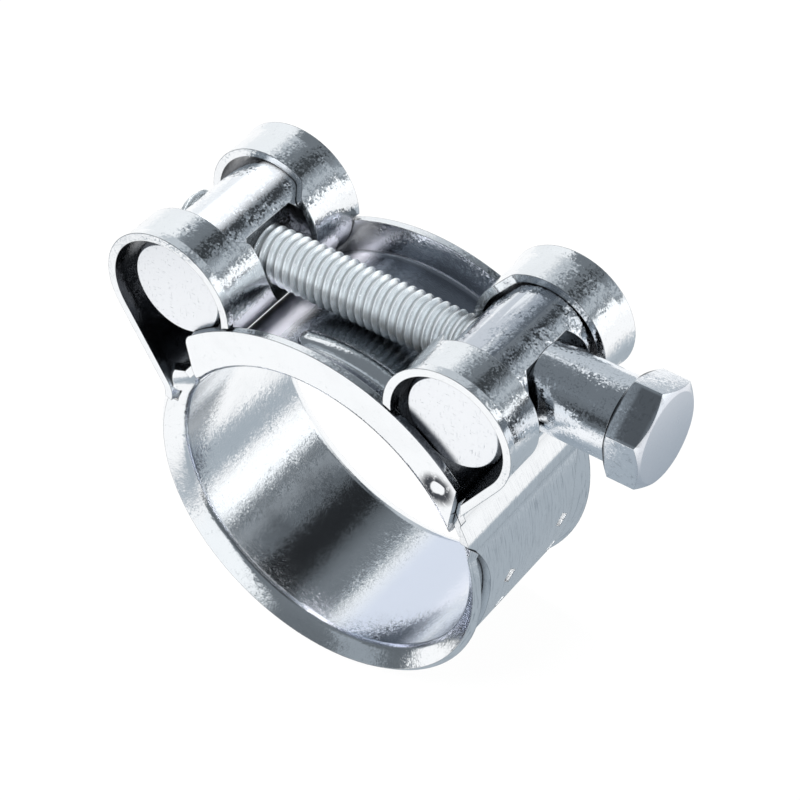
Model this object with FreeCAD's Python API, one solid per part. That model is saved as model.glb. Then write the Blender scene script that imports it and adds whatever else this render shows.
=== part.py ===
import FreeCAD, Part
import math
import os

os.makedirs("parts", exist_ok=True)

# Ring of the band, in mm: the hose axis is Y, the bolt lies along X above it
ring_inner_r = 18.0
sheet_t = 0.9
ring_half_w = 10.6
ear_over = 0.3
lip_h = 1.45
bend_r = 0.5
bend_chord = 30.0

# Bridge, the channel that covers the gap
bridge_t = 0.8
bridge_gap = 0.1
flange_play = 0.15
flange_h = 4.8
bridge_left_at = 50.39
bridge_right_at = 63.19
bridge_end_lean = 10.0
bridge_corner_r = 1.6
bead_y = 5.1
bead_r = 1.5
bead_chord = 36.0
bead_from = -12.5
bead_to = 32.0
pip_size = 2.5
pip_depth = 0.45
pip_angle = 49.5

# The two trunnions in the eyes
trunnion_r = 5.5
trunnion_edge = 0.4
eye_rise = 2.29
spot_play = 0.8
spot_depth = 1.65

# Bolt, M6
bolt_r = 2.95
bolt_gap = 0.25
tip_out = 0.71
tip_chamfer = 0.6
thread_fit = 0.05
plain_fit = 0.55
hex_af = 10.0
hex_h = 4.0
hex_turn = 6.0

# Spacer sleeve between the plain trunnion and the head
sleeve_fit = 0.35
sleeve_wall = 1.1
sleeve_length = 9.6
sleeve_edge = 0.35
sleeve_drop = 0.25
sleeve_play = 0.02

# Eyes and tails of the band
right_slack = 0.75
right_lean = -8.0
left_slack = 1.05
left_lean = 30.0
seat_gap = 0.07
ear_flare = 0.2
ear_flare_w = 1.1
slot_play = 1.4
slot_rise = 0.1
slot_neck_play = 1.25
slot_neck_h = 7.5
slot_taper_h = 1.4
slot_taper_r = 0.8
slot_corner_r = 4.1
slot_angle = 42.0
tail_half_w = 7.6
tail_curve_r = 10.6
tail_curve_at = 91.0
tail_gap = 0.05
tail_play = 0.15
tail_end = 120.0
step_r = 2.0
right_neck_r = 1.2
right_neck_at = 61.0
right_step_at = 68.0
left_neck_r = 2.0
left_neck_at = 69.0
left_step_at = 57.0

# Clinches that hold each tail to the ring
clinch_y = 4.8
clinch_shift = 0.9
clinch_first = 97.0
clinch_second = 111.0
clinch_size = 1.5
clinch_depth = 0.4
button_size = 2.6

# Derived sizes
low_r = ring_inner_r + sheet_t
high_r = ring_inner_r + bridge_t + bridge_gap + sheet_t
ear_half_w = ring_half_w + ear_over
flange_out_y = ear_half_w
flange_in_y = flange_out_y - bridge_t
flange_top_r = ring_inner_r + flange_h
leg_half_w = flange_in_y - flange_play
trunnion_half = leg_half_w
axis_z = ring_inner_r + bridge_t + bolt_gap + bolt_r
trunnion_x = math.sqrt((high_r + trunnion_r + eye_rise) ** 2 - axis_z ** 2)
sleeve_bore_r = bolt_r + sleeve_fit
sleeve_r = sleeve_bore_r + sleeve_wall
spot_r = sleeve_r + spot_play
spot_floor = trunnion_r - spot_depth
sleeve_x = trunnion_x + spot_floor + sleeve_play
head_x = sleeve_x + sleeve_length + sleeve_play
tip_x = -trunnion_x - trunnion_r - tip_out
bolt_length = head_x - tip_x

UP_Y = FreeCAD.Vector(0, 1, 0)
ALONG_X = FreeCAD.Vector(1, 0, 0)


def vec(x, y, z):
    return FreeCAD.Vector(x, y, z)


def polar(r, angle):
    # Angle is measured from the top towards the head, in the plane of the ring
    a = math.radians(angle)
    return (r * math.sin(a), r * math.cos(a))


def angle_of(point, centre=(0.0, 0.0)):
    dx = point[0] - centre[0]
    dz = point[1] - centre[1]
    return math.degrees(math.atan2(dx, dz)) % 360.0


def chords(start, stop, centre, radius):
    # An arc as short straight steps, so that the swept bend is a few plain faces
    a = start - centre
    b = stop - centre
    turn = math.degrees(a.getAngle(b))
    steps = max(2, round(turn / bend_chord))
    points = [start]
    for i in range(1, steps):
        share = i / steps
        way = a * math.sin(math.radians(turn * (1 - share))) + b * math.sin(math.radians(turn * share))
        points.append(centre + way.normalize() * radius)
    return points + [stop]


def rounded_wire(points, radii, place, stepped=True):
    # A closed outline with a bend at every corner that has a radius
    edges = []
    n = len(points)
    ends = []
    for i in range(n):
        p = FreeCAD.Vector(points[i][0], points[i][1], 0)
        a = FreeCAD.Vector(points[i - 1][0], points[i - 1][1], 0)
        b = FreeCAD.Vector(points[(i + 1) % n][0], points[(i + 1) % n][1], 0)
        u = (a - p).normalize()
        w = (b - p).normalize()
        half = u.getAngle(w) / 2.0
        if radii[i] <= 0:
            ends.append((p, p, None, None))
            continue
        back = radii[i] / math.tan(half)
        middle = (u + w).normalize()
        centre = p + middle * (radii[i] / math.sin(half))
        ends.append((p + u * back, p + w * back, centre - middle * radii[i], centre))
    for i in range(n):
        start, stop, mid, centre = ends[i]
        if mid is not None and stepped:
            run = [place(q) for q in chords(start, stop, centre, radii[i])]
            edges += [Part.makeLine(a, b) for a, b in zip(run, run[1:])]
        elif mid is not None:
            edges.append(Part.Arc(place(start), place(mid), place(stop)).toShape())
        nxt = ends[(i + 1) % n][0]
        if (nxt - stop).Length > 1e-6:
            edges.append(Part.makeLine(place(stop), place(nxt)))
    return Part.Wire(edges)


def lipped_section():
    # Sheet with both edges flared at 45 degrees away from the hose
    inner_bend = sheet_t * math.tan(math.radians(22.5))
    slant = sheet_t * math.sin(math.radians(45.0))
    flat = ring_half_w - lip_h - slant
    right = [
        (flat + inner_bend, -sheet_t),
        (ring_half_w, lip_h - slant),
        (flat + lip_h, lip_h),
        (flat, 0.0),
    ]
    left = [(-y, s) for y, s in reversed(right)]
    radii = [bend_r + sheet_t, 0, 0, bend_r]
    return right + left, radii + list(reversed(radii))


def plain_section(half_w):
    points = [(half_w, -sheet_t), (half_w, 0.0), (-half_w, 0.0), (-half_w, -sheet_t)]
    return points, [0, 0, 0, 0]


def ear_section():
    # Sheet whose outer edges turn slightly away from the trunnion
    root = ear_half_w - ear_flare_w
    right = [
        (root, -sheet_t),
        (ear_half_w, -sheet_t - ear_flare),
        (ear_half_w, -ear_flare),
        (root, 0.0),
    ]
    left = [(-y, s) for y, s in reversed(right)]
    return right + left, [0] * 8


def section_face(section, point, toward_eye):
    points, radii = section

    def place(p):
        return vec(point[0] + p.y * toward_eye[0], p.x, point[1] + p.y * toward_eye[1])

    return Part.Face(rounded_wire(points, radii, place))


def arc_run(section, centre, radius, start, sweep, eye_side):
    # eye_side is 1 where the eye side of the sheet faces away from the arc's centre
    d = polar(1.0, start)
    point = (centre[0] + radius * d[0], centre[1] + radius * d[1])
    face = section_face(section, point, (eye_side * d[0], eye_side * d[1]))
    return face.revolve(vec(centre[0], 0, centre[1]), UP_Y, sweep)


def line_run(section, start, stop):
    dx = stop[0] - start[0]
    dz = stop[1] - start[1]
    length = math.hypot(dx, dz)
    face = section_face(section, start, (dz / length, -dx / length))
    return face.extrude(vec(dx, 0, dz))


def tangent(a, ra, b, rb, side):
    # The line that crosses between two circles; side 1 passes first on the far side
    dx = b[0] - a[0]
    dz = b[1] - a[1]
    reach = math.degrees(math.acos((ra + rb) / math.hypot(dx, dz)))
    turned = math.radians(math.degrees(math.atan2(dz, dx)) + side * reach)
    n = (math.cos(turned), math.sin(turned))
    return (a[0] + ra * n[0], a[1] + ra * n[1]), (b[0] - rb * n[0], b[1] - rb * n[1])


def step_runs(section, high, low, at, r_top, r_foot, eye_side):
    # Two small arcs that carry the sheet from the high radius down to the low one
    top = polar(high - r_top, at)
    c1 = high - r_top
    c2 = low + r_foot
    turn = math.degrees(math.acos((c1 * c1 + c2 * c2 - (r_top + r_foot) ** 2) / (2 * c1 * c2)))
    foot = polar(c2, at + turn)
    meet = angle_of(foot, top)
    first = arc_run(section, top, r_top, at, meet - at, eye_side)
    back = at + turn + 180.0
    second = arc_run(section, foot, r_foot, meet + 180.0, back - meet - 180.0, -eye_side)
    return [first, second], at + turn


def band_side(slack, lean, neck_r, neck_at, step_at):
    # One side of the band: step over the bridge, leg, eye, neck and tail
    off = polar(slack - seat_gap, lean)
    eye = (trunnion_x + off[0], axis_z - off[1])
    eye_r = trunnion_r + slack
    lips = lipped_section()
    leg = plain_section(leg_half_w)
    ear = ear_section()
    tail = plain_section(ear_half_w)
    runs, low_at = step_runs(lips, high_r, low_r, step_at, step_r, step_r, 1)
    p1, p2 = tangent((0.0, 0.0), high_r, eye, eye_r, -1)
    leave = angle_of(p1)
    if step_at > leave:
        runs.append(arc_run(leg, (0.0, 0.0), high_r, leave, step_at - leave, 1))
    runs.append(line_run(leg, p1, p2))
    floor_r = high_r if neck_at < step_at else low_r
    neck_centre = polar(floor_r + tail_gap + sheet_t + neck_r, neck_at)
    p3, p4 = tangent(eye, eye_r, neck_centre, neck_r + sheet_t, 1)
    enter = angle_of(p2, eye)
    around = (angle_of(p3, eye) - enter) % 360.0
    runs.append(arc_run(ear, eye, eye_r, enter, around, -1))
    runs.append(line_run(ear, p3, p4))
    top = angle_of(p4, neck_centre)
    bottom = neck_at + 180.0
    runs.append(arc_run(ear, neck_centre, neck_r + sheet_t, bottom, top - bottom, 1))
    start = neck_at
    tails = []
    if neck_at < step_at:
        tails.append(arc_run(tail, (0.0, 0.0), high_r + tail_gap, neck_at, step_at - neck_at, -1))
        down, start = step_runs(
            tail, high_r + tail_gap, low_r + tail_gap, step_at,
            step_r + tail_gap, step_r - tail_gap, -1,
        )
        tails += down
    tails.append(arc_run(tail, (0.0, 0.0), low_r + tail_gap, start, tail_end - start, -1))
    shape = tail_shape(0.0, neck_at - 1.0)
    tails = [s.common(shape) for s in tails]
    room = tail_shape(tail_play, neck_at - 3.0).cut(
        Part.makeCylinder(low_r + tail_gap / 2, 60.0, vec(0, -30.0, 0), UP_Y)
    )
    steps = [s.cut(room) for s in runs[:2]]
    return steps + runs[2:] + tails, low_at, room


def tail_shape(play, start):
    # The tail seen from outside: wide at the neck, curving in to its straight sides
    wide = ear_half_w + play
    slim = tail_half_w + play
    body = wedge(-wide, wide, ring_inner_r, high_r + 4.0, start, tail_end + play * 3 - start)
    d = polar(1.0, tail_curve_at)
    r = tail_curve_r - play
    tools = []
    for side in (1, -1):
        y = side * (tail_half_w + tail_curve_r)
        tools.append(Part.makeCylinder(r, 12.0, vec(14.0 * d[0], y, 14.0 * d[1]), vec(d[0], 0, d[1])))
    tools += both_sides(
        wedge(slim, wide + 1.0, ring_inner_r - 1.0, high_r + 5.0, tail_curve_at, tail_end + 5.0 - tail_curve_at)
    )
    return body.cut(Part.makeCompound(tools))


def wedge(y_from, y_to, r_from, r_to, start, sweep):
    # A block that follows the ring
    d = polar(1.0, start)
    corners = [(r_from, y_from), (r_to, y_from), (r_to, y_to), (r_from, y_to), (r_from, y_from)]
    wire = Part.makePolygon([vec(r * d[0], y, r * d[1]) for r, y in corners])
    return Part.Face(wire).revolve(vec(0, 0, 0), UP_Y, sweep)


def both_sides(solid):
    return [solid, solid.mirror(vec(0, 0, 0), UP_Y)]


def clinch_places():
    rows = [clinch_shift - clinch_y, clinch_shift + clinch_y]
    return [(at, y) for at in (clinch_first, clinch_second) for y in rows]


def clinch_blocks(size, r_from, height):
    # Square blocks set on their corners, one at each clinch
    blocks = []
    for at, y in clinch_places():
        block = Part.makeBox(size, size, height, vec(-size / 2, -size / 2, r_from))
        block.rotate(vec(0, 0, 0), vec(0, 0, 1), 45.0)
        block.rotate(vec(0, 0, 0), UP_Y, at)
        block.translate(vec(0, y, 0))
        blocks.append(block)
    return blocks


def clinch_marks():
    # Dents pressed through the tail into the ring
    return clinch_blocks(clinch_size, low_r - clinch_depth, 8.0)


def clinch_buttons():
    # Where tail and ring are pressed into one
    return clinch_blocks(button_size, low_r - sheet_t / 2, sheet_t)


def slot_tool():
    # The opening through an eye, close to the bolt at its foot and wider above
    neck = bolt_r + slot_neck_play
    w = sleeve_r + slot_play
    foot = high_r + slot_rise
    low = foot + slot_neck_h
    high = low + slot_taper_h
    top = foot + 5.0 * trunnion_r
    reach = 2.5 * trunnion_r
    right = [(neck, foot), (neck, low), (w, high), (w, top)]
    outline = right + [(-y, z) for y, z in reversed(right)]
    radii = [slot_corner_r, slot_taper_r, slot_taper_r, 0]

    def place(p):
        return vec(-reach, p.x, p.y)

    wire = rounded_wire(outline, radii + radii[::-1], place, False)
    tool = Part.Face(wire).extrude(vec(2 * reach, 0, 0))
    tool.rotate(vec(0, 0, 0), UP_Y, slot_angle)
    return tool


def bridge_keepout():
    # Room for the bridge's flanges beside the legs
    start = -bridge_left_at - 10.0
    sweep = bridge_right_at + 9.0 - start
    near = wedge(leg_half_w, ear_half_w + 2.0, ring_inner_r - 1.0, flange_top_r + 0.3, start, sweep)
    left = end_top(bridge_left_at).x - 0.26
    right = end_top(bridge_right_at).x + 0.5
    wide = 3 * ear_half_w
    span = Part.makeBox(left + right, 2 * wide, 2 * flange_top_r, vec(-left, -wide, 0))
    return [s.common(span) for s in both_sides(near)]


def band():
    right, right_low, right_room = band_side(
        right_slack, right_lean, right_neck_r, right_neck_at, right_step_at
    )
    left, left_low, left_room = band_side(
        left_slack, left_lean, left_neck_r, left_neck_at, left_step_at
    )
    left = [s.mirror(vec(0, 0, 0), ALONG_X) for s in left]
    sweep = 360.0 - left_low - right_low
    ring = arc_run(lipped_section(), (0.0, 0.0), low_r, right_low, sweep, 1)
    ring = ring.cut(Part.makeCompound([right_room, left_room.mirror(vec(0, 0, 0), ALONG_X)]))
    buttons = clinch_buttons()
    marks = clinch_marks()
    buttons += [s.mirror(vec(0, 0, 0), ALONG_X) for s in buttons]
    marks += [s.mirror(vec(0, 0, 0), ALONG_X) for s in marks]
    slot = slot_tool()
    tools = marks + bridge_keepout() + [slot, slot.mirror(vec(0, 0, 0), ALONG_X)]
    solid = ring.multiFuse(right + left + buttons)
    solid = solid.cut(Part.makeCompound(tools))
    solid = solid.removeSplitter()
    return max(solid.Solids, key=lambda s: s.Volume)


def bridge_section():
    base_out = ring_inner_r + bridge_t
    right = [
        (flange_out_y, ring_inner_r),
        (flange_out_y, flange_top_r),
        (flange_in_y, flange_top_r),
        (flange_in_y, base_out),
    ]
    left = [(-y, r) for y, r in reversed(right)]
    radii = [bend_r + bridge_t, 0, 0, bend_r]
    return right + left, radii + list(reversed(radii))


def end_foot(at):
    # Where an end line of the bridge starts, on the outside of its web
    x, z = polar(ring_inner_r + bridge_t, at)
    return vec(x, 0, z)


def end_top(at):
    # Where that leaning line meets the top of the flange
    lean = math.radians(bridge_end_lean)
    up = vec(math.sin(lean), 0, math.cos(lean))
    foot = end_foot(at)
    along = foot.dot(up)
    rise = math.sqrt(along ** 2 + flange_top_r ** 2 - foot.dot(foot)) - along
    return foot + up * rise


def end_tool(at, side, corner):
    # Cuts an end of the bridge on a leaning line and rounds its upper corner
    wide = 3 * ear_half_w
    size = 2 * flange_top_r
    tool = Part.makeBox(size, 2 * wide, 2 * size, vec(0, -wide, -size / 2))
    tool.rotate(vec(0, 0, 0), UP_Y, bridge_end_lean)
    tool.translate(end_foot(at))
    if corner:
        tool = tool.fuse(corner_tool(at, corner))
    if side < 0:
        tool = tool.mirror(vec(0, 0, 0), ALONG_X)
    return tool


def corner_tool(at, r):
    # The sliver outside a rounded upper corner
    corner = end_top(at)
    down = (end_foot(at) - corner).normalize()
    top = vec(-corner.z, 0, corner.x)
    top.normalize()
    half = down.getAngle(top) / 2
    back = r / math.tan(half)
    centre = corner + (down + top).normalize() * (r / math.sin(half))
    wide = 3 * ear_half_w
    points = [corner + down * back, corner + top * back, corner - (down + top) * 0.4]
    points = [vec(p.x, -wide, p.z) for p in points]
    block = Part.Face(Part.makePolygon(points + points[:1])).extrude(vec(0, 2 * wide, 0))
    return block.cut(Part.makeCylinder(r, 2 * wide, vec(centre.x, -wide, centre.z), UP_Y))


def bead_half(radius, at):
    # Half of the bead's section, on the side of the bead's own middle line
    d = polar(1.0, at)
    n = round(180.0 / bead_chord)
    points = []
    for i in range(n + 1):
        a = math.radians(180.0 * i / n)
        r = ring_inner_r + radius * math.cos(a)
        points.append(vec(r * d[0], bead_y + radius * math.sin(a), r * d[1]))
    return Part.Face(Part.makePolygon(points + points[:1]))


def bead_run(radius):
    # A pressed bead that follows the bridge
    run = bead_half(radius, bead_from).revolve(vec(0, 0, 0), UP_Y, bead_to - bead_from)
    return run.fuse(run.mirror(vec(0, bead_y, 0), UP_Y))


def bead_dome(radius, at):
    # The rounded end of a bead
    d = polar(1.0, at)
    return bead_half(radius, at).revolve(vec(0, bead_y, 0), vec(d[0], 0, d[1]), 360.0)


def pip():
    # The triangular dent that crimps a flange against the band's end
    x, z = polar((ring_inner_r + flange_top_r) / 2, pip_angle)
    y = -flange_out_y
    h = pip_size / 2
    tilt = math.radians(pip_angle)
    out = vec(math.sin(tilt), 0, math.cos(tilt))
    along = vec(math.cos(tilt), 0, -math.sin(tilt))
    base = [along * (-2.1 * h) - out * (0.4 * h), along * (0.4 * h) + out * (1.6 * h)]
    base.append(along * (1.7 * h) - out * (1.2 * h))
    rim = [vec(x, y - 0.01, z) + p for p in base]
    foot = vec(x, y + pip_depth, z)
    faces = [Part.Face(Part.makePolygon(rim + rim[:1]))]
    for i in range(3):
        a = rim[i]
        b = rim[(i + 1) % 3]
        faces.append(Part.Face(Part.makePolygon([a, b, foot, a])))
    solid = Part.makeSolid(Part.makeShell(faces))
    return both_sides(solid)


def bridge():
    sweep = Part.Face(
        rounded_wire(*bridge_section(), lambda p: vec(0, p.x, p.y))
    )
    body = sweep.revolve(vec(0, 0, 0), UP_Y, bridge_right_at + 17.0)
    body = body.fuse(sweep.revolve(vec(0, 0, 0), UP_Y, -bridge_left_at - 20.0))
    domes = [bead_dome(bead_r, bead_from), bead_dome(bead_r, bead_to)]
    outer = both_sides(bead_run(bead_r).multiFuse(domes))
    inner = both_sides(bead_run(bead_r - bridge_t))
    body = body.multiFuse([cut_to_outside(s) for s in outer])
    ends = [end_tool(bridge_right_at, 1, 0), end_tool(bridge_left_at, -1, bridge_corner_r)]
    body = body.cut(Part.makeCompound(inner + ends + pip()))
    return body.removeSplitter()


def cut_to_outside(solid):
    core = Part.makeCylinder(ring_inner_r + bridge_t / 2, 60.0, vec(0, -30.0, 0), UP_Y)
    return solid.cut(core)


def trunnion(x, hole_r):
    # A round bar with a cross hole and a spot face on the head's side
    bar = Part.makeCylinder(trunnion_r, 2 * trunnion_half, vec(x, -trunnion_half, axis_z), UP_Y)
    rims = [e for e in bar.Edges if e.Curve.TypeId == "Part::GeomCircle"]
    bar = bar.makeChamfer(trunnion_edge, rims)
    hole = Part.makeCylinder(hole_r, 4 * trunnion_r, vec(x - 2 * trunnion_r, 0, axis_z), ALONG_X)
    seat = Part.makeCylinder(spot_r, trunnion_r, vec(x + spot_floor, 0, axis_z), ALONG_X)
    return bar.cut(Part.makeCompound([hole, seat])).removeSplitter()


def spacer_sleeve():
    # The loose sleeve hangs on the bolt
    start = vec(sleeve_x, 0, axis_z - sleeve_drop)
    tube = Part.makeCylinder(sleeve_r, sleeve_length, start, ALONG_X)
    far = [e for e in tube.Edges if abs(e.CenterOfMass.x - sleeve_x - sleeve_length) < 1e-6]
    tube = tube.makeChamfer(sleeve_edge, far)
    return tube.cut(Part.makeCylinder(sleeve_bore_r, sleeve_length, start, ALONG_X))


def bolt():
    shank = Part.makeCylinder(bolt_r, bolt_length, vec(tip_x, 0, axis_z), ALONG_X)
    tip = [e for e in shank.Edges if abs(e.CenterOfMass.x - tip_x) < 1e-6]
    shank = shank.makeChamfer(tip_chamfer, tip)
    corner_r = hex_af / math.sqrt(3.0)
    points = []
    for i in range(7):
        a = math.radians(hex_turn + 60.0 * i)
        points.append(vec(head_x, -corner_r * math.sin(a), axis_z + corner_r * math.cos(a)))
    head = Part.Face(Part.makePolygon(points)).extrude(vec(hex_h, 0, 0))
    # The turned faces of the head: a 30 degree cone outside and a small one under it
    crown_r = hex_af / 2 * 0.95
    slope = math.tan(math.radians(30.0))
    deep = hex_h + 2.0
    big = crown_r + deep / slope
    cone = Part.makeCone(big, crown_r, deep, vec(head_x + hex_h - deep, 0, axis_z), ALONG_X)
    under = Part.makeCone(
        hex_af / 2, hex_af / 2 + deep / slope, deep, vec(head_x, 0, axis_z), ALONG_X
    )
    return head.common(cone).common(under).fuse(shank).removeSplitter()


def write(name, shape):
    shape.exportStep("parts/" + name + ".step")
    print(name, "valid", shape.isValid(), "solids", len(shape.Solids), "volume", round(shape.Volume, 1))


write("band", band())
write("bridge", bridge())
write("nut_trunnion", trunnion(-trunnion_x, bolt_r + thread_fit))
write("plain_trunnion", trunnion(trunnion_x, bolt_r + plain_fit))
write("spacer_sleeve", spacer_sleeve())
write("bolt", bolt())
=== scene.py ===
import math

import bmesh
import bpy
from mathutils import Matrix, Vector


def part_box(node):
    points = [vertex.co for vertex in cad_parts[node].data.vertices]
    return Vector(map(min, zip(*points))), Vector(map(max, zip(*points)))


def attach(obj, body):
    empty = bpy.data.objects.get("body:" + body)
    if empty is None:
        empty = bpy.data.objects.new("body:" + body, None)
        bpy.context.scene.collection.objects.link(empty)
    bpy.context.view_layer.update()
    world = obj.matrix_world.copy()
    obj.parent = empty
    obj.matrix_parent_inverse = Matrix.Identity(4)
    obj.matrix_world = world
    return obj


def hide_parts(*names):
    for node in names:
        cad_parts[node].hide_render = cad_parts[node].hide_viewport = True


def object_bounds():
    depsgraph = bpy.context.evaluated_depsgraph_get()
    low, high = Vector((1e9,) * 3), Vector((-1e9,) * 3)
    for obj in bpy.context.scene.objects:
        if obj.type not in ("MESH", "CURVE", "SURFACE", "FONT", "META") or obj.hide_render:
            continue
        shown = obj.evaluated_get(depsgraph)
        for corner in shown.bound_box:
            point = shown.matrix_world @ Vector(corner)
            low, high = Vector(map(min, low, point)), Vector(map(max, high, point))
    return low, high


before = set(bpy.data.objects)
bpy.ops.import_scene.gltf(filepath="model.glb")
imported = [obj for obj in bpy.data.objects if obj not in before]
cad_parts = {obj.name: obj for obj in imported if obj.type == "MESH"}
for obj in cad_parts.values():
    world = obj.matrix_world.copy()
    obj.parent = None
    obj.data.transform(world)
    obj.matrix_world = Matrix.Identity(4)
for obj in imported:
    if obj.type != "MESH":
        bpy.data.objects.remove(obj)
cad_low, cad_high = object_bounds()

HALF_TURN = math.pi
DEGREES = 180.0 / math.pi

# Sizes that the solids and the scene share, in metres
bolt_low, bolt_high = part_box("bolt")
AXIS_Z = 0.022
TIP_X = bolt_low.x
HEAD_END_X = bolt_high.x
HEAD_H = 0.004
HEAD_X = HEAD_END_X - HEAD_H
HEX_AF = 0.010
HEX_TURN = math.radians(6.0)
PITCH = 0.001
THREAD_R = 0.00294
ROOT_R = 0.00242
TIP_R = 0.00225
BAR_END_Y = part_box("nut_trunnion")[1].y
EYE_X = 0.01665
SEAT_X = 0.00385
SLEEVE_END_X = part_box("spacer_sleeve")[1].x
CREASE_Y = 0.0098
FLANGE_Y = 0.0109
TAIL_R = 0.01985

# Crimp dents in the bridge's flanges, in metres
PIP_X = 0.0155
PIP_Z = 0.01325
PIP_RING = (0.0007, 0.0009, 0.0012, 0.0024)

# Clinches in the tails: place and size of a dent across, in metres, then along, in degrees from the top
CLINCH_Y = 0.0048
CLINCH_SHIFT = 0.0009
CLINCH_HALF = (0.0014, 0.0012)
CLINCH_MIDDLE = 104.0
CLINCH_SPREAD = 7.0
CLINCH_REACH = (5.0, 4.0)

# Zones of the bridge where shade, a highlight and a reflection are painted, in metres
CHANNEL_Y = (0.0062, 0.0068, 0.0098, 0.0104)
MIDDLE_Y = (0.0041, 0.0035)
CHANNEL_R = (0.0185, 0.0187, 0.0200, 0.0210)
FAR_BEAD_X = (-0.0065, -0.0030)
FAR_BEAD_Y = (0.0038, 0.0047, 0.0057, 0.0066)
FAR_BEAD_Z = (0.011, 0.013)
OPEN_END_X = (-0.0055, -0.0085)

# Zones of the band: the scored tail, and the dark and pale reflections painted inside the ring, in metres
TAIL_X = (0.010, 0.013)
TAIL_Z = (0.011, 0.006)
TAIL_OUTER_R = (0.0195, 0.0197)
RING_INNER_R = (0.0182, 0.0181)
DARK_REFLECTION_X = (-0.0150, -0.0115, -0.0060, -0.0030)
DARK_REFLECTION_Z = (-0.0080, -0.0120)
PALE_REFLECTION_X = (-0.0005, 0.0030)
PALE_REFLECTION_Z = (-0.0120, -0.0150)

# Radii of a corner that catches light and gets a painted dark outline, and of a nook where shade is
# painted, in metres
EDGE_R = 0.00012
NOOK_R = 0.0014

# Colours
WHITE = (1.0, 1.0, 1.0, 1.0)
RIM_SHADE_DARK = (0.10, 0.11, 0.125, 1.0)
NOOK_SHADE_DARK = (0.03, 0.035, 0.045, 1.0)
GAP_SHADE_DARK = (0.03, 0.035, 0.04, 1.0)
CHANNEL_SHADE_NAVY = (0.11, 0.13, 0.19, 1.0)
BEAD_HIGHLIGHT_LILAC = (0.80, 0.82, 0.94, 1.0)
OPEN_END_REFLECTION_LILAC = (0.93, 0.92, 1.0, 1.0)
SCORE_GREY = (0.42, 0.45, 0.49, 1.0)
DENT_REFLECTION_WHITE = (0.95, 0.96, 0.97, 1.0)
INSIDE_REFLECTION_PALE = (0.70, 0.75, 0.87, 1.0)
STEEL_TINT = (0.87, 0.90, 0.94, 1.0)
# Colour of the studio's dim and bright parts, as the plating mirrors them
DIM_TINT = (0.80, 0.905, 1.0, 1.0)
BRIGHT_TINT = (0.96, 0.985, 1.0, 1.0)

# Windows of light round the part: strength, then start, end and softness of the bearing and of the
# height, in degrees
WINDOWS = (
    (1.05, (96.0, 172.0, 4.0), (-30.0, 17.0, 5.0)),
    (0.36, (96.0, 172.0, 4.0), (25.0, 35.0, 2.0)),
    (0.10, (96.0, 172.0, 4.0), (35.0, 46.0, 3.0)),
    (0.40, (-190.0, -168.0, 4.0), (-30.0, 38.0, 4.0)),
    (0.78, (-143.0, -96.0, 4.0), (-30.0, 57.0, 3.0)),
    (0.42, (-168.0, -143.0, 4.0), (-30.0, 48.0, 4.0)),
    (0.85, (4.0, 56.0, 4.0), (-30.0, 32.0, 4.0)),
    (0.20, (-62.0, -38.0, 5.0), (12.0, 46.0, 5.0)),
)
# Round dark flags: share of the light that each takes, bearing, height, inner and outer radius, in degrees
FLAGS = ((0.7, -28.0, 15.0, 5.0, 12.0), (0.78, 152.0, 53.0, 8.0, 14.0))

# Lamps, in metres: all stand equally far from the part and are equally large
LAMP_AIM = Vector((0.0, 0.0, 0.01))
LAMP_DISTANCE = 0.9
LAMP_SIZE = 0.3

# The photograph's camera: bearing, height and roll in degrees, aim and distance in metres, lens in mm
CAMERA_BEARING = 35.909
CAMERA_HEIGHT = 43.402
CAMERA_ROLL = -0.464
CAMERA_AIM = Vector((0.003366, 0.0, 0.010058))
CAMERA_DISTANCE = 0.269274
CAMERA_LENS = 119.545
CAMERA_SENSOR = 36.0


# Shader maths as expressions

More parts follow.
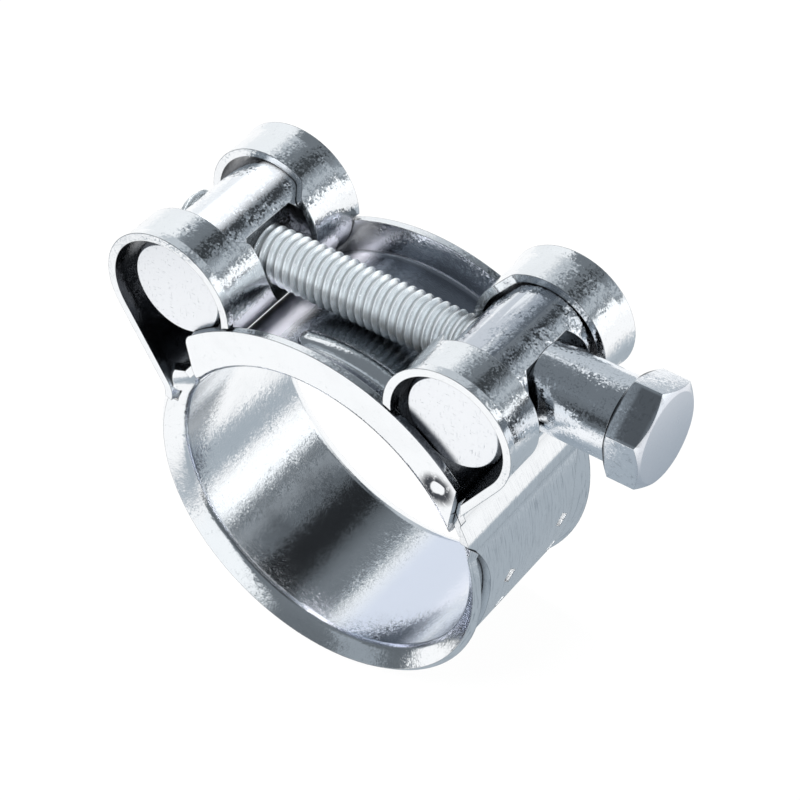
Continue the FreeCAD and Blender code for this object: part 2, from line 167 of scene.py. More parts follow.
class Wire:
    """A socket of a node tree that can be calculated with."""

    def __init__(self, tree, socket=None):
        self.tree = tree
        self.socket = socket

    def put(self, kind, settings=None, inputs=None, output=0):
        made = self.tree.nodes.new(kind)
        for name, value in (settings or {}).items():
            setattr(made, name, value)
        for name, value in (inputs or {}).items():
            if isinstance(value, Wire):
                self.tree.links.new(value.socket, made.inputs[name])
            else:
                made.inputs[name].default_value = value
        return Wire(self.tree, made.outputs[output]) if made.outputs else None

    def other(self, output):
        return Wire(self.tree, self.socket.node.outputs[output])

    def maths(self, operation, *values, clamp=False):
        return self.put(
            "ShaderNodeMath", {"operation": operation, "use_clamp": clamp}, dict(enumerate(values))
        )

    def __add__(self, b):
        return self.maths("ADD", self, b)

    def __radd__(self, b):
        return self.maths("ADD", b, self)

    def __sub__(self, b):
        return self.maths("SUBTRACT", self, b)

    def __rsub__(self, b):
        return self.maths("SUBTRACT", b, self)

    def __mul__(self, b):
        return self.maths("MULTIPLY", self, b)

    def __rmul__(self, b):
        return self.maths("MULTIPLY", b, self)

    def __truediv__(self, b):
        return self.maths("DIVIDE", self, b)

    def __pow__(self, b):
        return self.maths("POWER", self, b)

    def clamped(self):
        return self.maths("ADD", self, 0.0, clamp=True)

    def at_most(self, b):
        return self.maths("MINIMUM", self, b)

    def at_least(self, b):
        return self.maths("MAXIMUM", self, b)

    def size(self):
        return self.maths("ABSOLUTE", self)

    def degrees_from(self, up):
        # Angle of the point (self, up) from the axis of up
        return self.maths("ARCTAN2", self, up) * DEGREES

    def ramp(self, low, high, kind="LINEAR"):
        return self.put(
            "ShaderNodeMapRange",
            {"interpolation_type": kind, "clamp": True},
            {"Value": self, "From Min": low, "From Max": high, "To Min": 0.0, "To Max": 1.0},
        )

    def step(self, low, high):
        # 0 below low, 1 above high, smooth between; low may be the larger one
        return self.ramp(low, high, "SMOOTHSTEP")

    def plateau(self, start, full, still, end):
        # 1 from full to still, 0 before start and after end
        return self.step(start, full) * self.step(end, still)

    def split(self):
        parts = self.put("ShaderNodeSeparateXYZ", None, {0: self})
        return parts, parts.other(1), parts.other(2)

    def joined(self, x, y, z):
        return self.put("ShaderNodeCombineXYZ", None, {0: x, 1: y, 2: z})

    def vector(self, operation, *others, output=0):
        inputs = dict(enumerate((self, *others)))
        return self.put("ShaderNodeVectorMath", {"operation": operation}, inputs, output)

    def scaled(self, x, y, z):
        return self.vector("MULTIPLY", (x, y, z))

    def shifted(self, b):
        return self.vector("ADD", b)

    def dot(self, b):
        return self.vector("DOT_PRODUCT", b, output=1)

    def times(self, share):
        # A vector made longer or shorter
        return self.put("ShaderNodeVectorMath", {"operation": "SCALE"}, {0: self, "Scale": share})

    def blend(self, share, b):
        # This colour where share is 0, the other where it is 1
        return self.put(
            "ShaderNodeMix", {"data_type": "RGBA"}, {0: share, 6: self, 7: b}, output=2
        )

    def noise(self, scale, detail, rough, twist=0.0):
        return self.put(
            "ShaderNodeTexNoise",
            {"noise_dimensions": "3D"},
            {"Vector": self, "Scale": scale, "Detail": detail, "Roughness": rough, "Distortion": twist},
        )

    def cell_colours(self, scale):
        return self.put(
            "ShaderNodeTexVoronoi",
            {"feature": "F1"},
            {"Vector": self, "Scale": scale, "Randomness": 1.0},
            output=1,
        )

    def rgb(self, colour):
        return self.put(
            "ShaderNodeMix", {"data_type": "RGBA"}, {0: 0.0, 6: colour, 7: colour}, output=2
        )

    def face_way(self):
        return self.put("ShaderNodeNewGeometry", output="Normal")


def new_material(name):
    made = bpy.data.materials.new(name)
    made.use_nodes = True
    made.node_tree.nodes.clear()
    return made, Wire(made.node_tree)


def squares(radii):
    return [r ** 2 for r in radii]


class Coat:
    """A zinc finish in the making."""

    def __init__(self, name, tint):
        self.made, self.start = new_material(name)
        self.where = self.start.put("ShaderNodeTexCoord", output="Object")
        self.x, self.y, self.z = self.where.split()
        self.colour = self.start.rgb(tint)
        self.roughness = 0.1
        self.height = 0.0
        self.tilt = None

    def mark(self, share, colour):
        """Colour the plating where share is 1."""
        self.colour = self.colour.blend(share, colour)

    def bore_squared(self):
        """Square of the distance from the bore's axis."""
        return self.x * self.x + self.z * self.z

    def facets(self, scale, amount):
        """Small crystals, each tilted its own way, thicker in some places."""
        thick = self.where.noise(420.0, detail=2.0, rough=0.5).step(0.38, 0.64)
        ways = self.where.cell_colours(scale).shifted((-0.5, -0.5, -0.5))
        self.tilt = ways.times((0.2 + 0.8 * thick) * amount)

    def finish(self, relief, metallic=1.0, edge=EDGE_R, nook=NOOK_R, nook_shade=0.85):
        """Paint shade along rims and into nooks and close the material; the last argument is how much shade
        is painted into a nook.
        """
        start = self.start
        corner = start.put("ShaderNodeBevel", {"samples": 6}, {"Radius": edge})
        # Painted shade: a thin dark outline along the rounded corners
        rim = corner.dot(start.face_way()).step(0.99, 0.86)
        self.mark(rim * 0.7, RIM_SHADE_DARK)
        # Painted shade in nooks: ambient occlusion darkens the colour
        near = start.put("ShaderNodeAmbientOcclusion", {"samples": 8}, {"Distance": nook}, output=1)
        self.mark(near.step(0.75, 0.15) * nook_shade, NOOK_SHADE_DARK)
        if self.tilt:
            corner = corner.shifted(self.tilt).vector("NORMALIZE")
        normal = start.put(
            "ShaderNodeBump",
            None,
            {"Strength": 1.0, "Distance": relief, "Height": self.height, "Normal": corner},
        )
        shader = start.put(
            "ShaderNodeBsdfPrincipled",
            None,
            {
                "Base Color": self.colour,
                "Metallic": metallic,
                "Roughness": self.roughness,
                "Normal": normal,
            },
        )
        start.put("ShaderNodeOutputMaterial", None, {"Surface": shader})
        return self.made


def sheet_coat(name, tint, dark, speckle):
    """Bright zinc plate on pressed sheet: crystalline grain, faint roll lines and soft dull patches."""
    coat = Coat(name, tint)
    where = coat.where
    grain = where.noise(5200.0, detail=3.0, rough=0.6)
    crystals = where.noise(1500.0, detail=4.0, rough=0.62, twist=0.3)
    patches = where.noise(260.0, detail=3.0, rough=0.55)
    rolled = where.scaled(900.0, 5200.0, 900.0).noise(1.0, detail=2.0, rough=0.5)
    specks = crystals.step(0.56, 0.72) * grain.step(0.42, 0.62)
    duller = tuple(0.86 * v for v in tint[:3]) + (1.0,)
    coat.mark(specks * speckle, dark)
    coat.mark(patches.step(0.45, 0.75) * 0.25, duller)
    coat.roughness = 0.08 + patches.step(0.3, 0.8) * 0.06 + specks * 0.06 + grain * 0.03
    coat.height = crystals * 0.5 + grain * 0.2 + rolled * 0.12
    coat.facets(5200.0, 0.07 + 0.09 * coat.z.step(0.014, 0.02))
    return coat, crystals, patches


def pip_shade_ring(coat):
    """Painted shade: a dark ring round the bright floor of the crimp dents in the bridge's flanges."""
    dx = coat.x - PIP_X
    dz = coat.z - PIP_Z
    away = (dx * dx + dz * dz) ** 0.5
    return away.plateau(*PIP_RING) * coat.y.size().step(FLANGE_Y - 0.0007, FLANGE_Y - 0.0006)


def zinc_bridge():
    """The bridge's sheet: painted shade in the channels beside its beads and under the bolt, a pale painted
    highlight on the far bead and a pale painted reflection on its open end.
    """
    coat, crystals, _ = sheet_coat(
        "zinc_bridge", (0.91, 0.93, 0.95, 1.0), dark=(0.38, 0.42, 0.45, 1.0), speckle=0.20
    )
    x, y, z = coat.x, coat.y, coat.z
    across = y.size()
    # Painted shade round the crimp dents
    coat.mark(pip_shade_ring(coat) * crystals.step(0.25, 0.5), (0.05, 0.055, 0.065, 1.0))
    # Painted shade: dark navy in the channels beside the beads and under the bolt
    channel_shade = across.plateau(*CHANNEL_Y) * 0.7 + across.step(*MIDDLE_Y) * 0.3
    coat.mark(channel_shade * coat.bore_squared().plateau(*squares(CHANNEL_R)), CHANNEL_SHADE_NAVY)
    # Painted highlight: pale lilac along the far bead, which is also less metallic
    ridge = y.plateau(*FAR_BEAD_Y) * z.step(*FAR_BEAD_Z) * x.step(*FAR_BEAD_X)
    coat.mark(ridge * 0.9, BEAD_HIGHLIGHT_LILAC)
    # Painted reflection: the open end is pale lilac, rougher and barely metallic, with no painted shade in
    # its nooks
    open_end_reflection = x.step(*OPEN_END_X) * across.step(FLANGE_Y - 0.0006, FLANGE_Y - 0.0012)
    coat.mark(open_end_reflection, OPEN_END_REFLECTION_LILAC)
    coat.roughness = coat.roughness + open_end_reflection * 0.25
    metallic = 1.0 - open_end_reflection * 0.8 - ridge * 0.55
    return coat.finish(relief=0.000035, metallic=metallic, nook=0.003, nook_shade=0.75 - 0.75 * open_end_reflection)


def eye_inside_shade(coat):
    """1 on the sheet's faces that look at a trunnion, where shade is painted."""
    sign = coat.x.maths("SIGN", coat.x)
    eye = coat.start.joined(sign * EYE_X, coat.y, AXIS_Z)
    way = eye.vector("SUBTRACT", coat.where)
    reach = way.vector("LENGTH", output=1)
    facing = way.dot(coat.start.face_way()) / reach
    return facing.step(0.25, 0.6) * reach.step(0.0145, 0.0125) * coat.z.step(0.0085, 0.0105)


def dent_floors(coat):
    """1 in the clinches' dents, where a bright reflection is painted."""
    spread = coat.bore_squared() ** 0.5
    angle = coat.x.size().degrees_from(coat.z)
    row = ((coat.y - CLINCH_SHIFT).size() - CLINCH_Y).size().step(*CLINCH_HALF)
    near = (angle - CLINCH_MIDDLE).size() - CLINCH_SPREAD
    sunk = spread.plateau(0.0183, 0.0184, TAIL_R - 0.00008, TAIL_R - 0.00004)
    return near.size().step(*CLINCH_REACH) * row * sunk


def zinc_band():
    """The band's sheet: painted shade inside the eyes, scored tails, painted reflections in the dents and
    two tones of painted reflection inside the ring.
    """
    coat, _, patches = sheet_coat(
        "zinc_band", (0.90, 0.92, 0.94, 1.0), dark=(0.34, 0.38, 0.41, 1.0), speckle=0.30
    )
    x, z, bore = coat.x, coat.z, coat.bore_squared()
    eye_shade = eye_inside_shade(coat)
    # Painted shade inside the eyes, which the trunnions hide from the light
    coat.mark(eye_shade * 0.93, (0.035, 0.04, 0.05, 1.0))
    coat.roughness = coat.roughness + eye_shade * 0.12
    tail = x.step(*TAIL_X) * z.step(*TAIL_Z) * bore.step(*squares(TAIL_OUTER_R))
    score = coat.where.scaled(420.0, 9500.0, 420.0).noise(1.0, detail=3.0, rough=0.6)
    coat.mark(tail * score.step(0.50, 0.68) * 0.55, SCORE_GREY)
    coat.height = coat.height + tail * score * 0.5
    dent_reflection = dent_floors(coat)
    # Painted reflection: white, barely metallic floors in the clinches' dents
    coat.mark(dent_reflection, DENT_REFLECTION_WHITE)
    inside = bore.step(*squares(RING_INNER_R))
    # Painted reflection: a dark, mottled zone inside the ring
    dull = inside * x.plateau(*DARK_REFLECTION_X) * z.step(*DARK_REFLECTION_Z)
    coat.mark(dull * (0.35 + 0.45 * patches), (0.08, 0.085, 0.095, 1.0))
    # Painted reflection: a pale zone inside the ring
    pale = inside * x.step(*PALE_REFLECTION_X) * z.step(*PALE_REFLECTION_Z)
    coat.mark(pale * 0.9, INSIDE_REFLECTION_PALE)
    return coat.finish(relief=0.000035, metallic=1.0 - dent_reflection * 0.85)


def zinc_bar():
    """Bright zinc plate on turned bar: coarser speckle round the bar, pale scratched ends."""
    coat = Coat("zinc_bar", (0.93, 0.95, 0.98, 1.0))
    where, x, y, z = coat.where, coat.x, coat.y, coat.z
    end = y.size().step(BAR_END_Y - 0.0004, BAR_END_Y - 0.0001)
    side = 1.0 - end
    on_right = x.step(0.0, 0.001)
    on_left = x.step(0.0, -0.001)
    grain = where.noise(4200.0, detail=3.0, rough=0.65)
    crystals = where.noise(1300.0, detail=4.0, rough=0.66, twist=0.5)
    patches = where.noise(300.0, detail=2.0, rough=0.5)
    scratch = where.scaled(5200.0, 900.0, 700.0).noise(1.0, detail=3.0, rough=0.6)
    fine = where.scaled(1400.0, 900.0, 8200.0).noise(1.0, detail=2.0, rough=0.5)
    lines = scratch.step(0.62, 0.70) * 0.6 + fine.step(0.64, 0.72) * 0.5
    specks = crystals.step(0.50, 0.62) * grain.step(0.40, 0.56) * side
    coat.mark(specks * 0.12, (0.30, 0.32, 0.35, 1.0))

    # Painted reflection: a grey side on the right bar, broken up by streaks along it
    angle = (x.size() - EYE_X).degrees_from(z - AXIS_Z)
    streaks = coat.start.joined(angle * 0.09, y * 60.0, 0.0).noise(1.0, detail=2.0, rough=0.5)
    dull = on_right * angle.step(34.0, 10.0) * side * (0.85 - 0.7 * streaks.step(0.5, 0.62))
    coat.mark(dull * 0.8, (0.44, 0.48, 0.55, 1.0))

    # Ends: pale and scratched, with a dark crescent of painted shade low on the right one
    coat.mark(end * (0.15 + 0.5 * lines), (0.76, 0.78, 0.82, 1.0))
    near = coat.bore_squared() ** 0.5 + 0.0006 * patches
    crescent_shade = on_right * end * near.step(0.0251, 0.0240)
    coat.mark(crescent_shade * 0.92, (0.04, 0.045, 0.06, 1.0))

    # Spot faces, darkened with painted shade
    seat_edge = (SEAT_X - 0.0001, SEAT_X - 0.00002)
    seat_shade = (x.size() - EYE_X).step(*seat_edge) * on_right
    seat_shade = seat_shade + (EYE_X - x.size()).step(*seat_edge) * on_left
    flat = coat.start.face_way().dot((1.0, 0.0, 0.0))
    coat.mark(seat_shade.clamped() * flat.step(0.97, 0.995) * 0.85, (0.08, 0.09, 0.10, 1.0))

    milky = on_left * angle.plateau(-26.0, -12.0, 4.0, 16.0) * side
    coat.roughness = 0.07 + patches * 0.03 + specks * 0.05 + end * 0.16 + lines * end * 0.1
    coat.height = (crystals * 0.14 + grain * 0.1) * (1.0 - end * 0.85) - end * lines * 0.12
    coat.facets(4800.0, 0.30 * side)
    return coat.finish(relief=0.0001, metallic=1.0 - 0.28 * milky)


def zinc_sleeve():
    """Bright zinc plate on drawn tube: long soft lines along the tube, painted shade at its mouth by the
    head.
    """
    coat = Coat("zinc_sleeve", STEEL_TINT)
    where = coat.where
    grain = where.noise(4600.0, detail=3.0, rough=0.6)
    drawn = where.scaled(300.0, 3600.0, 3600.0).noise(1.0, detail=3.0, rough=0.6)
    patches = where.noise(380.0, detail=2.0, rough=0.5)
    specks = grain.step(0.52, 0.66) * patches.step(0.4, 0.6)
    coat.mark(specks * 0.5, (0.33, 0.36, 0.39, 1.0))
    coat.roughness = 0.09 + patches * 0.05 + specks * 0.07
    coat.height = drawn * 0.2 + grain * 0.1
    # Painted shade at the sleeve's end, in the gap under the head
    mouth_shade = coat.x.step(SLEEVE_END_X - 0.00042, SLEEVE_END_X - 0.00034)
    coat.mark(mouth_shade * 0.95, GAP_SHADE_DARK)
    coat.facets(5200.0, 0.15)
    return coat.finish(relief=0.00006)


def zinc_thread():
    """Dull zinc on the rolled thread, with painted shade in the root."""
    coat = Coat("zinc_thread", (0.92, 0.97, 1.0, 1.0))
    up = coat.z - AXIS_Z
    radius = (coat.y * coat.y + up * up) ** 0.5
    # Painted shade in the thread's root
    root = radius.step(ROOT_R + 0.00028, ROOT_R)
    grain = coat.where.noise(6500.0, detail=3.0, rough=0.65)
    blotch = coat.where.noise(900.0, detail=3.0, rough=0.6)
    coat.mark(root * 0.55, (0.22, 0.23, 0.24, 1.0))
    coat.mark(grain.step(0.52, 0.70) * 0.20, (0.50, 0.52, 0.52, 1.0))
    coat.roughness = 0.14 + blotch * 0.10 + root * 0.15
    coat.height = grain * 0.7 + blotch * 0.3
    return coat.finish(relief=0.00003, metallic=0.78, edge=0.00003, nook=0.0005, nook_shade=0.4)


def zinc_head():
    """Zinc on the forged hex head: flecked faces, one of them darkened with painted shade, a pale, slightly
    dull end and painted shade underneath.
    """
    coat = Coat("zinc_head", STEEL_TINT)
    where, x = coat.where, coat.x
    top = x.step(HEAD_END_X - 0.0006, HEAD_END_X - 0.0001)
    grain = where.noise(4300.0, detail=3.0, rough=0.65)
    crystals = where.noise(1500.0, detail=4.0, rough=0.64, twist=0.4)
    patches = where.noise(420.0, detail=2.0, rough=0.5)
    specks = crystals.step(0.50, 0.62) * grain.step(0.40, 0.58)
    coat.mark(specks * (0.35 - 0.25 * top), (0.28, 0.30, 0.33, 1.0))
    coat.mark(top * 0.55, (0.66, 0.69, 0.76, 1.0))
    # Painted shade: one face of the hex is darker
    corner = (0.0 - coat.y).degrees_from(coat.z - AXIS_Z)
    shaded = corner.plateau(7.0, 9.0, 63.0, 65.0) * x.step(HEAD_X + 0.0010, HEAD_X + 0.0015)
    coat.mark(shaded * (1.0 - top) * 0.6, (0.16, 0.165, 0.18, 1.0))
    # Painted shade on the head's underside, in the gap above the sleeve
    under = x.step(HEAD_X + 0.0003, HEAD_X + 0.0001)
    coat.mark(under * 0.9, GAP_SHADE_DARK)
    coat.roughness = 0.10 + patches * 0.05 + specks * 0.07 + top * 0.16
    coat.height = (crystals * 0.15 + grain * 0.1) * (1.0 - 0.75 * top)
    coat.facets(5000.0, 0.13 * (1.0 - 0.8 * top))
    return coat.finish(relief=0.00009)


band_finish = zinc_band()
bridge_finish = zinc_bridge()
bar_finish = zinc_bar()
sleeve_finish = zinc_sleeve()
thread_finish = zinc_thread()
head_finish = zinc_head()


# Pieces

def show(name, mesh):
    piece = bpy.data.objects.new(name, mesh)
    bpy.context.scene.collection.objects.link(piece)
    return piece


def settled(piece):
    """The piece with its modifiers made part of its mesh."""
    depsgraph = bpy.context.evaluated_depsgraph_get()
    mesh = bpy.data.meshes.new_from_object(piece.evaluated_get(depsgraph), depsgraph=depsgraph)
    piece.modifiers.clear()
    old = piece.data
    piece.data = mesh
    bpy.data.meshes.remove(old)
    return piece


def is_soft(edge, angle):
    """Whether an edge has two faces that meet at less than the angle, in radians."""
    return len(edge.link_faces) == 2 and edge.calc_face_angle(0.0) < angle


def smooth_edges(mesh, angle, crease=None):
    """Smooth shading up to an angle; bent edges that lie at the crease's |y| stay sharp too."""
    bent = 0.1
    weld = 0.000002
    near = 0.00002
    bm = bmesh.new()
    bm.from_mesh(mesh)
    bmesh.ops.remove_doubles(bm, verts=bm.verts, dist=weld)
    for face in bm.faces:
        face.smooth = True
    for edge in bm.edges:
        edge.smooth = is_soft(edge, angle)
        if crease and edge.calc_face_angle(0.0) > bent:
            if all(abs(abs(v.co.y) - crease) < near for v in edge.verts):
                edge.smooth = False
    bm.to_mesh(mesh)
    bm.free()


def dressed(node, name, body, finish, angle=30.0, crease=None):
    """A solid of the frame with its corners joined, so that its bends shine smoothly."""
    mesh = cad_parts[node].data.copy()
    smooth_edges(mesh, math.radians(angle), crease)
    mesh.materials.clear()
    mesh.materials.append(finish)
    piece = show(name, mesh)
    weight = piece.modifiers.new("weight", "WEIGHTED_NORMAL")
    weight.mode = "FACE_AREA"
    weight.weight = 50
    weight.keep_sharp = True
    settled(piece)
    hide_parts(node)
    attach(piece, body)
    return piece


def thread_tree(finish):
    """Sheared grid wrapped round the bolt's axis, so that its rows run along the helix."""
    tree = bpy.data.node_groups.new("rolled_thread", "GeometryNodeTree")
    face = tree.interface
    face.new_socket("Geometry", in_out="OUTPUT", socket_type="NodeSocketGeometry")
    sizes = {
        "Crest radius": THREAD_R,
        "Root radius": ROOT_R,
        "Pitch": PITCH,
        "Tip": TIP_X,
        "End": HEAD_X + 0.0002,
        "Tip radius": TIP_R,
        "Axis height": AXIS_Z,
    }
    counts = {"Around": 56, "Rows per turn": 14}
    for name, value in sizes.items():
        face.new_socket(name, in_out="INPUT", socket_type="NodeSocketFloat").default_value = value
    for name, value in counts.items():
        face.new_socket(name, in_out="INPUT", socket_type="NodeSocketInt").default_value = value
    start = Wire(tree)
    given = start.put("NodeGroupInput")
    crest, root, pitch, tip, end, tip_r, height, around, rows = (
        given.other(name) for name in (*sizes, *counts)
    )
    length = (end - tip) / pitch + 1.0
    turns = length.maths("CEIL", length)
    grid = start.put(
        "GeometryNodeMeshGrid",
        None,
        {"Size X": 1.0, "Size Y": 1.0, "Vertices X": around + 1.0, "Vertices Y": turns * rows + 1.0},
    )
    u, v, _ = start.put("GeometryNodeInputPosition").split()
    share = u + 0.5
    along = (v + 0.5) * turns
    # The small shift keeps the rows at whole turns in the turn that they start
    phase = along.maths("FRACT", along + 0.0001)
    ridge = 1.0 - (2.0 * phase - 1.0).size()
    lift = ridge.ramp(0.12, 0.94)
    # The tip is a cone that opens by 1.1 mm per mm until it meets the thread
    x = (tip - pitch + (along + share) * pitch).at_least(tip).at_most(end)
    radius = (root + (crest - root) * lift).at_most(tip_r + (x - tip) * 1.1)
    angle = share * (2.0 * HALF_TURN)
    y = radius * angle.maths("COSINE", angle)
    z = radius * angle.maths("SINE", angle) + height
    spot = start.joined(x, y, z)
    moved = start.put("GeometryNodeSetPosition", None, {"Geometry": grid, "Position": spot})
    merged = start.put("GeometryNodeMergeByDistance", None, {"Geometry": moved, "Distance": 0.000001})
    real = start.put("GeometryNodeRealizeInstances", None, {"Geometry": merged})
    done = start.put("GeometryNodeSetMaterial", None, {"Geometry": real, "Material": finish})
    start.put("NodeGroupOutput", None, {"Geometry": done})
    return tree


def rolled_thread():
    piece = show("thread_trial", bpy.data.meshes.new("thread_trial"))
    modifier = piece.modifiers.new("thread", "NODES")
    modifier.node_group = thread_tree(thread_finish)
    settled(piece)
    return piece


def hex_reach(angle):
    turned = (angle - HEX_TURN) % (HALF_TURN / 3.0)
    return HEX_AF / 2.0 / math.cos(turned - HALF_TURN / 6.0)


def head_mesh():
    """Hex head: flat end, 30 degree cone that meets each flat in a curve, washer cone below."""
    bm = bmesh.new()
    count = 144
    crown = HEX_AF / 2.0 * 0.95
    slope = math.tan(math.radians(30.0))
    under = HEX_AF / 2.0
    rings = [[], [], [], []]
    for i in range(count):
        angle = 2.0 * HALF_TURN * i / count + HEX_TURN
        reach = hex_reach(angle)
        way = Vector((0.0, -math.sin(angle), math.cos(angle)))
        centre = Vector((0.0, 0.0, AXIS_Z))
        heights = (
            (crown, HEAD_END_X),
            (reach, HEAD_END_X - (reach - crown) * slope),
            (reach, HEAD_X + (reach - under) * slope),
            (under - 0.00002, HEAD_X),
        )
        for ring, (r, x) in zip(rings, heights):
            ring.append(bm.verts.new(centre + way * r + Vector((x, 0.0, 0.0))))
    for a, b in zip(rings, rings[1:]):
        for i in range(count):
            j = (i + 1) % count
            bm.faces.new((a[i], b[i], b[j], a[j]))
    bm.faces.new(rings[0])
    bm.faces.new(list(reversed(rings[3])))
    bmesh.ops.recalc_face_normals(bm, faces=bm.faces)
    mesh = bpy.data.meshes.new("hex_head")
    bm.to_mesh(mesh)
    bm.free()
    return mesh


def closed_thread():
    """The thread with its two open rims filled, shaded smooth except at its rims."""
    thread = rolled_thread()
    bm = bmesh.new()
    bm.from_mesh(thread.data)
    bmesh.ops.remove_doubles(bm, verts=bm.verts, dist=0.000001)
    bmesh.ops.dissolve_degenerate(bm, dist=0.0000005, edges=bm.edges)
    rims = [e for e in bm.edges if e.is_boundary]
    bmesh.ops.holes_fill(bm, edges=rims, sides=0)
    bmesh.ops.recalc_face_normals(bm, faces=bm.faces)
    for face in bm.faces:
        face.smooth = True
        face.material_index = 0
    for edge in bm.edges:
        edge.smooth = is_soft(edge, math.radians(55.0))
    bm.to_mesh(thread.data)
    bm.free()
    return thread


def rounded_head():
    """The head with its sharp edges rounded."""
    sharp = math.radians(24.0)
    head = show("head_trial", head_mesh())
    bevel = head.modifiers.new("bevel", "BEVEL")
    bevel.width = 0.00012
    bevel.segments = 3
    bevel.limit_method = "ANGLE"
    bevel.angle_limit = sharp
    settled(head)
    smooth_edges(head.data, sharp)
    return head


def bolt_piece():
    """Head and thread of one screw, in one mesh with two finishes."""
    thread = closed_thread()
    head = rounded_head()
    bm = bmesh.new()
    bm.from_mesh(thread.data)
    split = len(bm.faces)
    bm.from_mesh(head.data)
    bm.faces.ensure_lookup_table()
    for face in bm.faces[split:]:
        face.material_index = 1
    mesh = bpy.data.meshes.new("hex_bolt")
    bm.to_mesh(mesh)
    bm.free()
    mesh.materials.append(thread_finish)
    mesh.materials.append(head_finish)
    for trial in (thread, head):
        bpy.data.objects.remove(trial)
    piece = show("hex_bolt", mesh)
    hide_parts("bolt")
    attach(piece, "bolt")
    return piece


node_finish = {
    "band": band_finish,
    "bridge": bridge_finish,
    "nut_trunnion": bar_finish,
    "plain_trunnion": bar_finish,
    "spacer_sleeve": sleeve_finish,
    "bolt": head_finish,
}
for node, finish in node_finish.items():
    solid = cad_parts[node]
    solid.data.materials.clear()
    solid.data.materials.append(finish)

dressed("band", "band_strip", "band", band_finish, 42.0, CREASE_Y)
dressed("bridge", "saddle_bridge", "band", bridge_finish, 42.0)
dressed("nut_trunnion", "threaded_bar", "nut_trunnion", bar_finish)
dressed("plain_trunnion", "plain_bar", "plain_trunnion", bar_finish)
dressed("spacer_sleeve", "sleeve_tube", "spacer", sleeve_finish)
bolt_piece()


# Stage, light and camera

def floor():
    """White floor with a faint shadow; the plating mirrors it white, grey on the right where a shadow is
    painted, and dim on the left.
    """
    made, start = new_material("white_floor")
    seen = start.put("ShaderNodeLightPath", output="Is Camera Ray")
    gloss = seen.other("Is Glossy Ray")
    plain = start.put("ShaderNodeBsdfDiffuse", None, {"Color": (0.92, 0.92, 0.92, 1.0)})
    x, y, _ = start.put("ShaderNodeTexCoord", output="Object").split()
    spread = (x * x + y * y) ** 0.5
    bearing = x.degrees_from(0.0 - y)
    # Painted shadow: in reflections the floor glows less near the part on the right; far off on the left it
    # is dim
    right = bearing.plateau(2.0, 20.0, 158.0, 168.0) * spread.step(0.115, 0.055)
    left = bearing.plateau(-95.0, -85.0, -18.0, -8.0) * spread.step(0.075, 0.10)
    mirrored = 1.04 - 0.54 * right - 0.74 * left
    strength = seen + (1.0 - seen) * mirrored
    bright = seen.at_least(mirrored.step(0.45, 0.95))
    tint = start.rgb(DIM_TINT).blend(bright, WHITE)
    white = start.put("ShaderNodeEmission", None, {"Color": tint, "Strength": strength})
    share = seen * 0.97 + gloss * (1.0 - seen)
    mixed = start.put("ShaderNodeMixShader", None, {0: share, 1: plain, 2: white})
    start.put("ShaderNodeOutputMaterial", None, {"Surface": mixed})
    mesh = bpy.data.meshes.new("studio_floor")
    low = cad_low.z - 0.00002
    reach = 1.6
    corners = [(-reach, -reach, low), (reach, -reach, low), (reach, reach, low), (-reach, reach, low)]
    mesh.from_pydata(corners, [], [(0, 1, 2, 3)])
    mesh.materials.append(made)
    piece = show("studio_floor", mesh)


def toward(azimuth, elevation):
    a, e = math.radians(azimuth), math.radians(elevation)
    return (math.sin(a) * math.cos(e), -math.cos(a) * math.cos(e), math.sin(e))


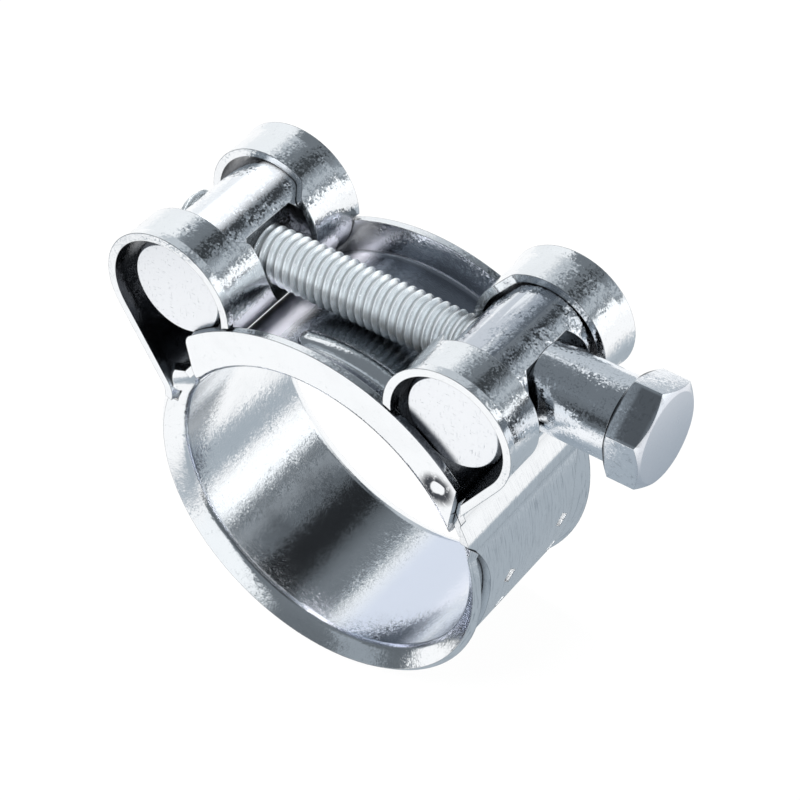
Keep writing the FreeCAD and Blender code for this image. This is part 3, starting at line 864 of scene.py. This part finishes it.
def surroundings():
    """Studio that the plating mirrors: dim, with windows of light and dark flags. The camera sees white."""
    world = bpy.data.worlds.new("studio")
    bpy.context.scene.world = world
    world.use_nodes = True
    world.node_tree.nodes.clear()
    start = Wire(world.node_tree)
    x, y, z = start.put("ShaderNodeTexCoord", output="Generated").split()
    bearing = x.degrees_from(0.0 - y)
    height = z.maths("ARCSINE", z) * DEGREES

    def window(value, low, high, soft):
        return value.plateau(low - soft, low + soft, high - soft, high + soft)

    def disc(azimuth, elevation, inner, outer):
        # 1 inside the inner angle of a round panel, 0 outside the outer one
        cx, cy, cz = toward(azimuth, elevation)
        along = x * cx + y * cy + z * cz
        return along.step(math.cos(math.radians(outer)), math.cos(math.radians(inner)))

    level = 0.15 + 0.04 * height.step(20.0, 50.0)
    for strength, bearings, heights in WINDOWS:
        level = level + strength * window(bearing, *bearings) * window(height, *heights)
    for share, *place in FLAGS:
        level = level - share * disc(*place) * level
    bright = level.step(0.30, 0.90)
    light = start.rgb(DIM_TINT).blend(bright, BRIGHT_TINT)
    level = level * (1.09 - 0.07 * bright)
    seen = start.put("ShaderNodeLightPath", output="Is Camera Ray")
    studio = start.put("ShaderNodeBackground", None, {"Color": light, "Strength": level.at_least(0.0)})
    white = start.put("ShaderNodeBackground", None, {"Color": WHITE, "Strength": 1.0})
    both = start.put("ShaderNodeMixShader", None, {0: seen, 1: studio, 2: white})
    start.put("ShaderNodeOutputWorld", None, {"Surface": both})


def lamp(name, azimuth, elevation, power):
    """Round soft lamp that lights dull faces only: the plating doesn't mirror it."""
    data = bpy.data.lights.new(name, "AREA")
    data.shape = "DISK"
    data.size = LAMP_SIZE
    data.energy = power
    made = bpy.data.objects.new(name, data)
    made.visible_glossy = False
    bpy.context.scene.collection.objects.link(made)
    way = Vector(toward(azimuth, elevation))
    made.location = LAMP_AIM + way * LAMP_DISTANCE
    made.rotation_euler = (-way).to_track_quat("-Z", "Y").to_euler()


def camera():
    """Three quarters from the front right, above, with a long lens."""
    turn = math.radians(CAMERA_BEARING)
    roll = math.radians(CAMERA_ROLL)
    back = Vector(toward(CAMERA_BEARING, CAMERA_HEIGHT))
    right = Vector((math.cos(turn), math.sin(turn), 0.0))
    up = back.cross(right)
    side = right * math.cos(roll) + up * math.sin(roll)
    top = up * math.cos(roll) - right * math.sin(roll)
    data = bpy.data.cameras.new("camera")
    data.lens = CAMERA_LENS
    data.sensor_width = CAMERA_SENSOR
    data.clip_start = 0.01
    data.clip_end = 20.0
    made = bpy.data.objects.new("camera", data)
    bpy.context.scene.collection.objects.link(made)
    spot = CAMERA_AIM + back * CAMERA_DISTANCE
    facing = Matrix((side, top, back)).transposed().to_4x4()
    made.matrix_world = Matrix.Translation(spot) @ facing
    bpy.context.scene.camera = made


floor()
surroundings()
lamp("soft_key", azimuth=-100.0, elevation=52.0, power=19.0)
lamp("front_fill", azimuth=-8.0, elevation=56.0, power=9.5)
lamp("right_fill", azimuth=75.0, elevation=20.0, power=6.0)
camera()
bpy.context.scene.view_settings.view_transform = "Standard"
